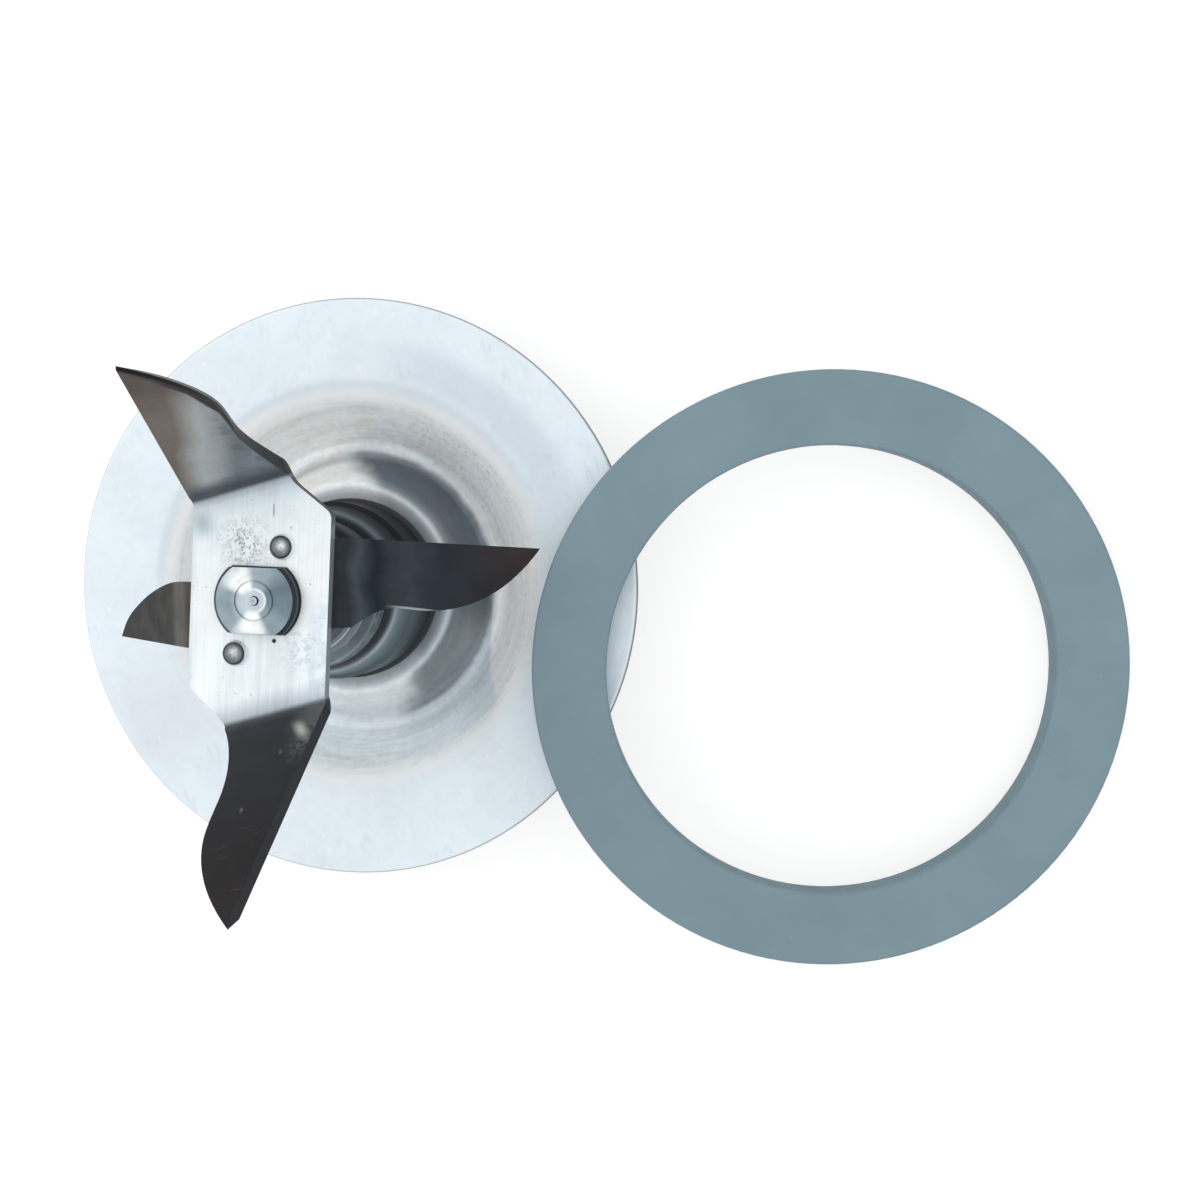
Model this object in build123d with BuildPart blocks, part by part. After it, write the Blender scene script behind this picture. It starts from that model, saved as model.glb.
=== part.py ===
from build123d import *

import os
from math import atan2, cos, degrees, pi, radians, sin, sqrt, tan

# Blade assembly of a kitchen blender, with its rubber sealing ring laid over the flange's rim.
# Millimetres, +Z up the shaft. The origin is the centre of the drive socket's mouth, on the surface
# that the assembly stands on. +X runs along the folds of the upper blade.

# Flange, a stamped dish
flange_radius = 31.0
flange_sheet = 1.0
flange_height = 9.5          # the flat rim's upper face above the surface
bowl_depth = 4.0
shoulder_margin = 1.3        # shoulder beyond the gasket
cone_run = 3.0               # across the cone, from the shoulder down to the bowl's floor
bowl_floor = 2.3             # width of the bowl's floor
bowl_wall_run = 4.3          # across the bowl's wall, up to the flat rim
shoulder_rise = 0.2          # the shoulder above the rim
rim_round = 0.4
bowl_bend = 5.0              # bend radii along the middle of the sheet
cone_foot_bend = 1.6
shoulder_bend = 1.3

# Shaft and bearing
shaft_radius = 3.95
shaft_flats = 6.0            # across the two flats at the blade end
shaft_proud = 1.2            # end of the shaft above the upper blade
flats_angle = -17.0
bush_radius = 5.2
bush_length = 5.2
running_gap = 0.04           # shaft in bush, radial
seal_gap = 0.05              # shaft in seal, radial
slip_gap = 0.1               # washers and spacer on the shaft, radial
seat_gap = 0.02              # pieces that are pressed or riveted together
bore_gap = 0.3               # turning pieces beside fixed ones
edge_chamfer = 0.3           # broken edges of bushes, shaft and socket
end_mark_radius = 1.9        # turned ring on the shaft's end
end_mark_width = 0.2
end_mark_depth = 0.12
end_nub_radius = 0.45        # what parting off left in the middle
end_nub_height = 0.25
end_nub_taper = 20.0

# Bearing housing, the tower
collar_overhang = 1.2        # collar beyond the shank
collar_height = 5.6
collar_round = 0.5
collar_chamfer = 0.4
taper_height = 4.4
taper_narrowing = 0.6        # over the taper's height
taper_round = 0.6
neck_step = 1.2              # the neck inside the taper's top
neck_height = 3.4
shank_wall = 1.0
shank_length = 5.4           # below the shoulder's upper face
shank_chamfer = 0.5
bearing_floor_drop = 0.9     # ceiling of the shank's bore below the shoulder's upper face
seal_wall = 0.9              # of the neck round the seal
seal_length = 1.5
lip_height = 0.5
lip_undercut = 0.6
cap_sheet = 0.5
cap_skirt = 2.2
cap_round = 0.4
cap_hole_gap = 0.7

# Fasteners and washers of the housing
gasket_thickness = 0.6
gasket_margin = 0.4          # gasket beyond the collar
lock_washer_thickness = 0.7
lock_washer_width = 1.8
lock_washer_teeth = 12
lock_washer_slot = 0.7
nut_sides = 6
nut_wall = 0.95              # at the middle of a flat
nut_height = 3.0
nut_chamfer = 0.7
thread_gap = 0.05

# Rotor stack
thrust_washer_radius = 6.4
thrust_washer_thickness = 0.8
steel_washer_radius = 6.0
steel_washer_thickness = 0.8
steel_washer_chamfer = 0.15
washer_lift = 0.1            # running gap over the seal cap
spacer_radius = 5.6
spacer_length = 8.6
spacer_chamfer = 0.4
spacer_groove = 0.4
groove_width = 1.2
lower_washer_radius = 6.2
lower_washer_thickness = 0.8

# Drive socket
socket_radius = 6.7
socket_square = 8.0
socket_web = 1.6
socket_mouth_chamfer = 0.6
tail_radius = 2.6
tail_head_radius = 3.4

# Blades
blade_sheet = 1.2
bend_radius = 0.8            # inside of each bend
edge_land = 0.4              # what the grinding leaves of the wing's edge
grind_width = 1.2            # on the back of the wing, at its widest
grind_tip = 1.6              # along the wing, at its tip
upper_fold = 10.4            # sharp fold line from the axis, on the upper face
upper_steep_bend = 69.6
upper_shallow_bend = 51.8
upper_root_leads = (5.85, 6.3)   # wing roots along the fold, the steep wing's and the other's
upper_root_trail = 3.7
upper_corner_x = 8.8
upper_corner_y = 5.8
upper_wing_length = 24.4
upper_tip_offset = 2.45
lower_fold = 7.5
lower_bend = 49.8
lower_turn = -14.7           # the lower blade about the shaft
lower_root_leads = (2.6, 1.6)    # the right wing's, the left wing's
lower_root_trails = (5.6, 4.5)
lower_wing_length = 23.1
lower_tip_offsets = (-4.25, -4.7)
hub_half_width = 7.7         # the lower blade's hub, across its wings
hub_shoulder_y = 5.6
hub_back_y = 3.4
hub_neck_x = 3.2
hub_neck_y = 6.0
# Cutting edges, point by point from root to tip: share of the wing's length, how far the edge
# stands out from the straight line between root and tip as a share of the root's width, and share
# of the full grinding
upper_edges = [
    [(0.12, 0.002, 0), (0.34, 0.064, 0.1), (0.55, 0.23, 0.3), (0.73, 0.234, 0.6), (0.875, 0.139, 0.9)],
    [(0.12, -0.038, 0), (0.34, 0.031, 0.1), (0.55, 0.199, 0.3), (0.73, 0.211, 0.6), (0.875, 0.127, 0.9)],
]
lower_edges = [
    [
        (0.06, -0.032, 0), (0.16, -0.049, 0.1), (0.35, 0.141, 0.2), (0.55, 0.294, 0.4),
        (0.72, 0.306, 0.7), (0.87, 0.202, 1),
    ],
    [(0.15, 0.137, 0.1), (0.35, 0.239, 0.2), (0.55, 0.285, 0.4), (0.72, 0.273, 0.7), (0.87, 0.212, 1)],
]
corner_round = 1.0
root_round = 3.0             # inner corner where an upper wing leaves the hub

# Rivets
rivet_radius = 1.0
rivet_head_radius = 1.2
rivet_head_height = 0.55
rivet_head_round = 0.45
rivet_x = 3.5
rivet_y = 4.1

# Sealing ring
ring_radius = 31.0
ring_width = 7.7
ring_thickness = 3.2
ring_x = 46.7
ring_y = -21.2
ring_rest_gap = 0.05
ring_round = 0.3

os.makedirs("parts", exist_ok=True)

# Heights up the shaft
shoulder_z = flange_height + shoulder_rise
collar_z = shoulder_z + gasket_thickness
taper_z = collar_z + collar_height
neck_z = taper_z + taper_height
neck_top_z = neck_z + neck_height
cap_top_z = neck_top_z + cap_sheet
shank_end_z = shoulder_z - shank_length
bearing_floor_z = shoulder_z - bearing_floor_drop
thrust_washer_z = cap_top_z + washer_lift
steel_washer_z = thrust_washer_z + thrust_washer_thickness
spacer_z = steel_washer_z + steel_washer_thickness
lower_blade_z = spacer_z + spacer_length
upper_blade_z = lower_blade_z + blade_sheet
upper_face_z = upper_blade_z + blade_sheet
socket_top_z = bearing_floor_z - washer_lift - lower_washer_thickness
shank_bore = socket_radius + bore_gap
shank_radius = shank_bore + shank_wall
collar_radius = shank_radius + collar_overhang
taper_foot_radius = collar_radius - collar_chamfer
taper_top_radius = taper_foot_radius - taper_narrowing
neck_radius = taper_top_radius - neck_step
seal_radius = neck_radius - seal_wall

# Base flange: one sheet, revolved along its middle line
middle = flange_sheet / 2
shoulder_radius = collar_radius + gasket_margin + shoulder_margin
bowl_inner_radius = shoulder_radius + cone_run
bowl_outer_radius = bowl_inner_radius + bowl_floor
with BuildPart() as base_flange:
    with BuildSketch(Plane.XZ):
        with BuildLine():
            FilletPolyline(
                (flange_radius, flange_height - middle),
                (bowl_outer_radius + bowl_wall_run, flange_height - middle),
                (bowl_outer_radius, flange_height - bowl_depth - middle),
                (bowl_inner_radius, flange_height - bowl_depth - middle),
                (shoulder_radius, shoulder_z - middle),
                (shank_radius + seat_gap, shoulder_z - middle),
                radius=[bowl_bend, cone_foot_bend, cone_foot_bend, shoulder_bend],
            )
        trace(line_width=flange_sheet)
    revolve(axis=Axis.Z)
    rim_edges = base_flange.edges().filter_by(GeomType.CIRCLE).sort_by(SortBy.RADIUS)[-2:]
    fillet(rim_edges, radius=rim_round)
base_flange.part.label = "base_flange"
export_step(base_flange.part, "parts/base_flange.step")

# Bearing housing: a turned tower with a hollow shank that the drive socket turns in
with BuildPart() as bearing_housing:
    with BuildSketch(Plane.XZ) as housing_section:
        with BuildLine():
            Polyline(
                (bush_radius, bearing_floor_z),
                (shank_bore, bearing_floor_z),
                (shank_bore, shank_end_z),
                (shank_radius, shank_end_z),
                (shank_radius, collar_z),
                (collar_radius, collar_z),
                (collar_radius, taper_z),
                (taper_foot_radius, taper_z + collar_chamfer),
                (taper_top_radius, neck_z),
                (neck_radius, neck_z),
                (neck_radius, neck_top_z),
                (seal_radius, neck_top_z),
                (seal_radius, neck_top_z - seal_length),
                (bush_radius, neck_top_z - seal_length),
                close=True,
            )
        make_face()
        taper_top = housing_section.vertices().sort_by_distance((taper_top_radius, neck_z))[0]
        fillet(taper_top, radius=taper_round)
        collar_foot = housing_section.vertices().sort_by_distance((collar_radius, collar_z))[0]
        fillet(collar_foot, radius=collar_round)
        shank_foot = housing_section.vertices().sort_by_distance((shank_radius, shank_end_z))[0]
        chamfer(shank_foot, length=shank_chamfer)
    revolve(axis=Axis.Z)
bearing_housing.part.label = "bearing_housing"
export_step(bearing_housing.part, "parts/bearing_housing.step")

# Gasket between the tower's collar and the shoulder
with BuildPart() as housing_gasket:
    with BuildSketch(Plane.XY.offset(shoulder_z)):
        Circle(collar_radius + gasket_margin)
        Circle(shank_radius + seat_gap, mode=Mode.SUBTRACT)
    extrude(amount=gasket_thickness)
housing_gasket.part.label = "housing_gasket"
export_step(housing_gasket.part, "parts/housing_gasket.step")

# Toothed lock washer under the shoulder
lock_washer_z = shoulder_z - flange_sheet - lock_washer_thickness
lock_washer_radius = shank_radius + lock_washer_width
with BuildPart() as lock_washer:
    with BuildSketch(Plane.XY.offset(lock_washer_z)):
        Circle(lock_washer_radius)
        Circle(shank_radius + slip_gap, mode=Mode.SUBTRACT)
        with PolarLocations(lock_washer_radius, lock_washer_teeth):
            Rectangle(lock_washer_width, lock_washer_slot, mode=Mode.SUBTRACT)
    extrude(amount=lock_washer_thickness)
lock_washer.part.label = "lock_washer"
export_step(lock_washer.part, "parts/lock_washer.step")

# Thin hexagonal nut on the shank
nut_z = lock_washer_z - nut_height
nut_flat_radius = shank_radius + thread_gap + nut_wall
nut_corner_radius = nut_flat_radius / cos(pi / nut_sides)
with BuildPart() as lock_nut:
    with BuildSketch(Plane.XY.offset(nut_z)):
        RegularPolygon(nut_corner_radius, nut_sides)
    extrude(amount=nut_height)
    with BuildSketch(Plane.XZ):
        with BuildLine():
            Polyline(
                (0, nut_z),
                (nut_flat_radius, nut_z),
                (nut_corner_radius, nut_z + nut_chamfer),
                (nut_corner_radius, nut_z + nut_height - nut_chamfer),
                (nut_flat_radius, nut_z + nut_height),
                (0, nut_z + nut_height),
                close=True,
            )
        make_face()
    revolve(axis=Axis.Z, mode=Mode.INTERSECT)
    with BuildSketch(Plane.XY.offset(nut_z)):
        Circle(shank_radius + thread_gap)
    extrude(amount=nut_height, mode=Mode.SUBTRACT)
lock_nut.part.label = "lock_nut"
export_step(lock_nut.part, "parts/lock_nut.step")

# Two sintered bushes, one at each end of the bearing bore
with BuildPart() as lower_bush:
    with BuildSketch(Plane.XY.offset(bearing_floor_z)):
        Circle(bush_radius - seat_gap)
        Circle(shaft_radius + running_gap, mode=Mode.SUBTRACT)
    extrude(amount=bush_length)
    lower_rims = lower_bush.edges().filter_by(GeomType.CIRCLE).sort_by(SortBy.RADIUS)[-2:]
    chamfer(lower_rims, length=edge_chamfer)
lower_bush.part.label = "lower_bush"
export_step(lower_bush.part, "parts/lower_bush.step")

upper_bush_z = neck_top_z - seal_length - bush_length
with BuildPart() as upper_bush:
    with BuildSketch(Plane.XY.offset(upper_bush_z)):
        Circle(bush_radius - seat_gap)
        Circle(shaft_radius + running_gap, mode=Mode.SUBTRACT)
    extrude(amount=bush_length)
    upper_rims = upper_bush.edges().filter_by(GeomType.CIRCLE).sort_by(SortBy.RADIUS)[-2:]
    chamfer(upper_rims, length=edge_chamfer)
upper_bush.part.label = "upper_bush"
export_step(upper_bush.part, "parts/upper_bush.step")

# Lip seal over the upper bush: a rubber ring with a lip that reaches for the shaft
seal_z = neck_top_z - seal_length
with BuildPart() as shaft_seal:
    with BuildSketch(Plane.XZ):
        with BuildLine():
            Polyline(
                (shaft_radius + seal_gap, neck_top_z - lip_height),
                (shaft_radius + lip_undercut, seal_z),
                (seal_radius - seat_gap, seal_z),
                (seal_radius - seat_gap, neck_top_z),
                (shaft_radius + seal_gap, neck_top_z),
                close=True,
            )
        make_face()
    revolve(axis=Axis.Z)
shaft_seal.part.label = "shaft_seal"
export_step(shaft_seal.part, "parts/shaft_seal.step")

# Pressed cap that holds the seal in: a skirt round the neck and a flat top
cap_radius = neck_radius + seat_gap + cap_sheet
with BuildPart() as seal_cap:
    with BuildSketch(Plane.XZ) as cap_section:
        with BuildLine():
            Polyline(
                (shaft_radius + cap_hole_gap, neck_top_z),
                (neck_radius + seat_gap, neck_top_z),
                (neck_radius + seat_gap, cap_top_z - cap_skirt),
                (cap_radius, cap_top_z - cap_skirt),
                (cap_radius, cap_top_z),
                (shaft_radius + cap_hole_gap, cap_top_z),
                close=True,
            )
        make_face()
        cap_edge = cap_section.vertices().sort_by_distance((cap_radius, cap_top_z))[0]
        fillet(cap_edge, radius=cap_round)
    revolve(axis=Axis.Z)
seal_cap.part.label = "seal_cap"
export_step(seal_cap.part, "parts/seal_cap.step")

# Washers on the shaft above the tower
with BuildPart() as upper_thrust_washer:
    with BuildSketch(Plane.XY.offset(thrust_washer_z)):
        Circle(thrust_washer_radius)
        Circle(shaft_radius + slip_gap, mode=Mode.SUBTRACT)
    extrude(amount=thrust_washer_thickness)
upper_thrust_washer.part.label = "upper_thrust_washer"
export_step(upper_thrust_washer.part, "parts/upper_thrust_washer.step")

with BuildPart() as steel_washer:
    with BuildSketch(Plane.XY.offset(steel_washer_z)):
        Circle(steel_washer_radius)
        Circle(shaft_radius + slip_gap, mode=Mode.SUBTRACT)
    extrude(amount=steel_washer_thickness)
    washer_rims = steel_washer.edges().filter_by(GeomType.CIRCLE).sort_by(SortBy.RADIUS)[-2:]
    chamfer(washer_rims, length=steel_washer_chamfer)
steel_washer.part.label = "steel_washer"
export_step(steel_washer.part, "parts/steel_washer.step")

# Spacer sleeve with one turned groove
groove_z = spacer_z + spacer_length / 2
with BuildPart() as spacer_collar:
    with BuildSketch(Plane.XZ):
        with BuildLine():
            Polyline(
                (shaft_radius + slip_gap, spacer_z),
                (spacer_radius - spacer_chamfer, spacer_z),
                (spacer_radius, spacer_z + spacer_chamfer),
                (spacer_radius, groove_z - groove_width / 2),
                (spacer_radius - spacer_groove, groove_z - groove_width / 2),
                (spacer_radius - spacer_groove, groove_z + groove_width / 2),
                (spacer_radius, groove_z + groove_width / 2),
                (spacer_radius, lower_blade_z),
                (shaft_radius + slip_gap, lower_blade_z),
                close=True,
            )
        make_face()
    revolve(axis=Axis.Z)
spacer_collar.part.label = "spacer_collar"
export_step(spacer_collar.part, "parts/spacer_collar.step")

# Thrust washer under the lower bush
with BuildPart() as lower_thrust_washer:
    with BuildSketch(Plane.XY.offset(socket_top_z)):
        Circle(lower_washer_radius)
        Circle(shaft_radius + slip_gap, mode=Mode.SUBTRACT)
    extrude(amount=lower_washer_thickness)
lower_thrust_washer.part.label = "lower_thrust_washer"
export_step(lower_thrust_washer.part, "parts/lower_thrust_washer.step")

# Drive socket: a cup with a square hole that opens downwards
socket_ceiling_z = socket_top_z - socket_web
with BuildPart() as drive_socket:
    with BuildSketch():
        Circle(socket_radius)
    extrude(amount=socket_top_z)
    chamfer(drive_socket.edges().filter_by(GeomType.CIRCLE).sort_by(Axis.Z)[-1], length=edge_chamfer)
    with BuildSketch():
        Rectangle(socket_square, socket_square)
    extrude(amount=socket_ceiling_z, mode=Mode.SUBTRACT)
    mouth_edges = drive_socket.faces().sort_by(Axis.Z)[0].inner_wires()[0].edges()
    chamfer(mouth_edges, length=socket_mouth_chamfer)
    with BuildSketch(Plane.XZ):
        with BuildLine():
            Polyline(
                (0, socket_ceiling_z),
                (tail_head_radius, socket_ceiling_z),
                (tail_radius, socket_ceiling_z + tail_head_radius - tail_radius),
                (tail_radius, socket_top_z),
                (0, socket_top_z),
                close=True,
            )
        make_face()
    revolve(axis=Axis.Z, mode=Mode.SUBTRACT)
drive_socket.part.label = "drive_socket"
export_step(drive_socket.part, "parts/drive_socket.step")

# Shaft: riveted tail, journal, and an end with two flats for the blades
shaft_end_z = upper_face_z + shaft_proud
flats_plane = Plane.XY.rotated((0, 0, flats_angle))
with BuildPart() as shaft:
    with BuildSketch(Plane.XZ):
        with BuildLine():
            Polyline(
                (0, socket_ceiling_z),
                (tail_head_radius - seat_gap, socket_ceiling_z),
                (tail_radius - seat_gap, socket_ceiling_z + tail_head_radius - tail_radius),
                (tail_radius - seat_gap, socket_top_z),
                (shaft_radius, socket_top_z),
                (shaft_radius, shaft_end_z - edge_chamfer),
                (shaft_radius - edge_chamfer, shaft_end_z),
                (0, shaft_end_z),
                close=True,
            )
        make_face()
    revolve(axis=Axis.Z)
    with BuildSketch(flats_plane.offset(lower_blade_z)):
        with Locations((0, shaft_radius), (0, -shaft_radius)):
            Rectangle(2 * shaft_radius, 2 * shaft_radius - shaft_flats)
    extrude(amount=shaft_end_z - lower_blade_z, mode=Mode.SUBTRACT)
    with BuildSketch(Plane.XY.offset(shaft_end_z)):
        Circle(end_nub_radius)
    extrude(amount=end_nub_height, taper=end_nub_taper)
    with BuildSketch(Plane.XY.offset(shaft_end_z)):
        Circle(end_mark_radius)
        Circle(end_mark_radius - end_mark_width, mode=Mode.SUBTRACT)
    extrude(amount=-end_mark_depth, mode=Mode.SUBTRACT)
shaft.part.label = "shaft"
export_step(shaft.part, "parts/shaft.step")

# Blades

def bent_wing(turn, fold, top_z, bend, root, cutting_edge, tip):
    """One wing with its bend. The wing leaves the hub along its own +Y, turned about the shaft.

    fold is the sharp fold line on the upper face, bend is positive upwards, root is how far the wing
    reaches along the fold on its leading and on its trailing side, cutting_edge lists points of the
    edge in the shares explained above, and tip is (x, length from the fold).
    The grinding is on the back, so the upper face keeps the whole outline.
    """
    lead, trail = root
    side = 1 if bend > 0 else -1
    angle = radians(abs(bend))
    face_radius = bend_radius if bend > 0 else bend_radius + blade_sheet
    start = face_radius * tan(angle / 2)
    centre_z = top_z + side * face_radius
    reach = tip[1] - start
    place = Location((0, 0, 0), (0, 0, turn))
    hub_end = place * Location((0, fold - start, top_z - blade_sheet / 2), (90, 0, 0))
    hinge_point = place * Location((0, fold - start, centre_z))
    hinge = Axis(hinge_point.position, Vector(side, 0, 0).rotate(Axis.Z, turn))
    root_y = fold - start + face_radius * sin(angle)
    root_z = centre_z - side * face_radius * cos(angle)
    face_plane = Plane(place * Location((0, root_y, root_z), (bend, 0, 0)))
    outlines = []
    for drop, ground in ((edge_land, 0), (blade_sheet, 1)):
        edge = []
        for along, bulge, grinding in cutting_edge:
            x = lead + along * (tip[0] - lead) + bulge * (lead + trail)
            edge.append((x - ground * grind_width * grinding, along * reach))
        kept = 1 - ground * grind_tip / reach
        tip_point = (kept * (tip[0] + trail) - trail, kept * reach)
        with BuildSketch(face_plane.offset(-drop)) as outline:
            with BuildLine():
                Spline((lead, 0), *edge, tip_point)
                Polyline(tip_point, (-trail, 0), (lead, 0))
            make_face()
        outlines.append(outline.sketch)
    with BuildPart() as wing:
        with BuildSketch(Plane(hub_end)):
            with Locations(((lead - trail) / 2, 0)):
                Rectangle(lead + trail, blade_sheet)
        revolve(axis=hinge, revolution_arc=abs(bend))
        extrude(outlines[0], amount=edge_land)
        loft(outlines, ruled=True)
    return wing.part


rivet_points = [(rivet_x, rivet_y), (-rivet_x, -rivet_y)]
upper_tip = (upper_tip_offset, upper_wing_length)
upper_wings = []
upper_ends = []
for i, (turn, bend) in enumerate(((0, upper_steep_bend), (180, upper_shallow_bend))):
    upper_ends.append(upper_fold - bend_radius * tan(radians(bend / 2)))
    upper_wings.append(bent_wing(
        turn, upper_fold, upper_face_z, bend,
        (upper_root_leads[i], upper_root_trail), upper_edges[i], upper_tip,
    ))

# Upper blade: flat hub, and two wings bent up by different angles
with BuildPart() as upper_blade:
    with BuildSketch(Plane.XY.offset(upper_blade_z)) as upper_hub:
        with BuildLine():
            Polyline(
                (-upper_root_trail, upper_ends[0]),
                (-upper_corner_x, -upper_corner_y),
                (-upper_root_leads[1], -upper_ends[1]),
                (upper_root_trail, -upper_ends[1]),
                (upper_corner_x, upper_corner_y),
                (upper_root_leads[0], upper_ends[0]),
                close=True,
            )
        make_face()
        across = upper_hub.vertices().sort_by(Axis.X)
        fillet([across[0], across[-1]], radius=corner_round)
        with Locations(*rivet_points):
            Circle(rivet_radius + seat_gap, mode=Mode.SUBTRACT)
    extrude(amount=blade_sheet)
    with BuildSketch(flats_plane.offset(upper_blade_z)):
        Circle(shaft_radius + seat_gap)
        Rectangle(3 * shaft_radius, shaft_flats + 2 * seat_gap, mode=Mode.INTERSECT)
    extrude(amount=blade_sheet, mode=Mode.SUBTRACT)
    add(upper_wings)
    root_corners = []
    for side, lead, end in zip((1, -1), upper_root_leads, upper_ends):
        corner = (side * lead, side * end, upper_blade_z + blade_sheet / 2)
        root_corners.append(upper_blade.edges().sort_by_distance(corner)[0])
    fillet(root_corners, radius=root_round)
upper_blade.part.label = "upper_blade"
export_step(upper_blade.part, "parts/upper_blade.step")

# Lower blade: a slanted hub, and two like wings bent down, turned a quarter turn from the upper blade
lower_end = lower_fold - (bend_radius + blade_sheet) * tan(radians(lower_bend / 2))
lower_plane = Plane.XY.rotated((0, 0, lower_turn - 90))
lower_wings = []
for i in range(2):
    lower_wings.append(bent_wing(
        lower_turn - 90 + 180 * i, lower_fold, upper_blade_z, -lower_bend,
        (lower_root_leads[i], lower_root_trails[i]), lower_edges[i],
        (lower_tip_offsets[i], lower_wing_length),
    ))
with BuildPart() as lower_blade:
    with BuildSketch(lower_plane.offset(lower_blade_z)) as lower_hub:
        with BuildLine():
            Polyline(
                (lower_root_leads[0], lower_end),
                (hub_neck_x, hub_neck_y),
                (hub_half_width, -hub_back_y),
                (hub_half_width, -hub_shoulder_y),
                (lower_root_trails[1], -lower_end),
                (-lower_root_leads[1], -lower_end),
                (-hub_neck_x, -hub_neck_y),
                (-hub_half_width, hub_back_y),
                (-hub_half_width, hub_shoulder_y),
                (-lower_root_trails[0], lower_end),
                close=True,
            )
        make_face()
        hub_corners = lower_hub.vertices().group_by(Axis.X)
        fillet([*hub_corners[0], *hub_corners[-1]], radius=corner_round)
    extrude(amount=blade_sheet)
    with BuildSketch(Plane.XY.offset(lower_blade_z)):
        with Locations(*rivet_points):
            Circle(rivet_radius + seat_gap)
    extrude(amount=blade_sheet, mode=Mode.SUBTRACT)
    with BuildSketch(flats_plane.offset(lower_blade_z)):
        Circle(shaft_radius + seat_gap)
        Rectangle(3 * shaft_radius, shaft_flats + 2 * seat_gap, mode=Mode.INTERSECT)
    extrude(amount=blade_sheet, mode=Mode.SUBTRACT)
    add(lower_wings)
lower_blade.part.label = "lower_blade"
export_step(lower_blade.part, "parts/lower_blade.step")

# Two rivets, flush below the lower blade and domed above the upper one
for letter, spot in zip("ab", rivet_points):
    with BuildPart() as blade_rivet:
        with BuildSketch(Plane.XY.offset(lower_blade_z)):
            with Locations(spot):
                Circle(rivet_radius)
        extrude(amount=2 * blade_sheet)
        with BuildSketch(Plane.XY.offset(upper_face_z)):
            with Locations(spot):
                Circle(rivet_head_radius)
        extrude(amount=rivet_head_height)
        fillet(blade_rivet.edges().filter_by(GeomType.CIRCLE).sort_by(Axis.Z)[-1], radius=rivet_head_round)
    blade_rivet.part.label = f"blade_rivet_{letter}"
    export_step(blade_rivet.part, f"parts/blade_rivet_{letter}.step")

# Sealing ring: it leans from the flange's rim down to the surface. Seen along the line from the
# shaft to the ring, its lower face touches the rim where the ring's hole crosses it.
ring_distance = sqrt(ring_x ** 2 + ring_y ** 2)
ring_heading = degrees(atan2(ring_y, ring_x))
hole_radius = ring_radius - ring_width
contact_radius = flange_radius - rim_round
contact_distance = (ring_distance ** 2 + contact_radius ** 2 - hole_radius ** 2) / (2 * ring_distance)
contact_height = flange_height + ring_rest_gap
ring_slope = degrees(atan2(contact_height, ring_distance + ring_radius - contact_distance))
for _ in range(4):
    far_edge = ring_distance + ring_radius * cos(radians(ring_slope))
    ring_slope = degrees(atan2(contact_height, far_edge - contact_distance))
middle_height = contact_height - (ring_distance - contact_distance) * tan(radians(ring_slope))
ring_turn = Location((0, 0, 0), (0, 0, ring_heading))
ring_place = ring_turn * Location((ring_distance, 0, middle_height), (0, ring_slope, 0))
with BuildPart() as sealing_ring:
    with BuildSketch(Plane(ring_place)):
        Circle(ring_radius)
        Circle(hole_radius, mode=Mode.SUBTRACT)
    extrude(amount=ring_thickness)
    fillet(sealing_ring.edges().filter_by(GeomType.CIRCLE), radius=ring_round)
sealing_ring.part.label = "sealing_ring"
export_step(sealing_ring.part, "parts/sealing_ring.step")
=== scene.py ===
import logging
from dataclasses import dataclass, field
from enum import Enum

import bmesh
import bpy
from mathutils import Matrix, Vector

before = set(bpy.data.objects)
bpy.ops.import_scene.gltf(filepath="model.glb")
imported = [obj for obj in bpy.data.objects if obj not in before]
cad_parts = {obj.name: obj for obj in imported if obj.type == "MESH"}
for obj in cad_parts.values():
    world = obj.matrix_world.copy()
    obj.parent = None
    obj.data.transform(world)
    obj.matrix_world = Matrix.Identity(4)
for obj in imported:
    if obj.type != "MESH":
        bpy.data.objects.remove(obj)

# Looks of the blade assembly. Lengths in the patterns are millimetres, those of objects metres.

log = logging.getLogger("blade_assembly")

Colour = tuple[float, float, float, float]
Socket = bpy.types.NodeSocket
Value = float | Socket


def tone(red: int, green: int, blue: int) -> Colour:
    """Turn a colour as a screen shows it into the linear one that a shader takes.

    Args:
        red: Red from 0 to 255.
        green: Green from 0 to 255.
        blue: Blue from 0 to 255.

    Returns:
        The linear colour with full opacity.
    """
    linear = []
    for level in (red, green, blue):
        share = level / 255
        linear.append(share / 12.92 if share <= 0.04045 else ((share + 0.055) / 1.055) ** 2.4)
    return (*linear, 1.0)


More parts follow.
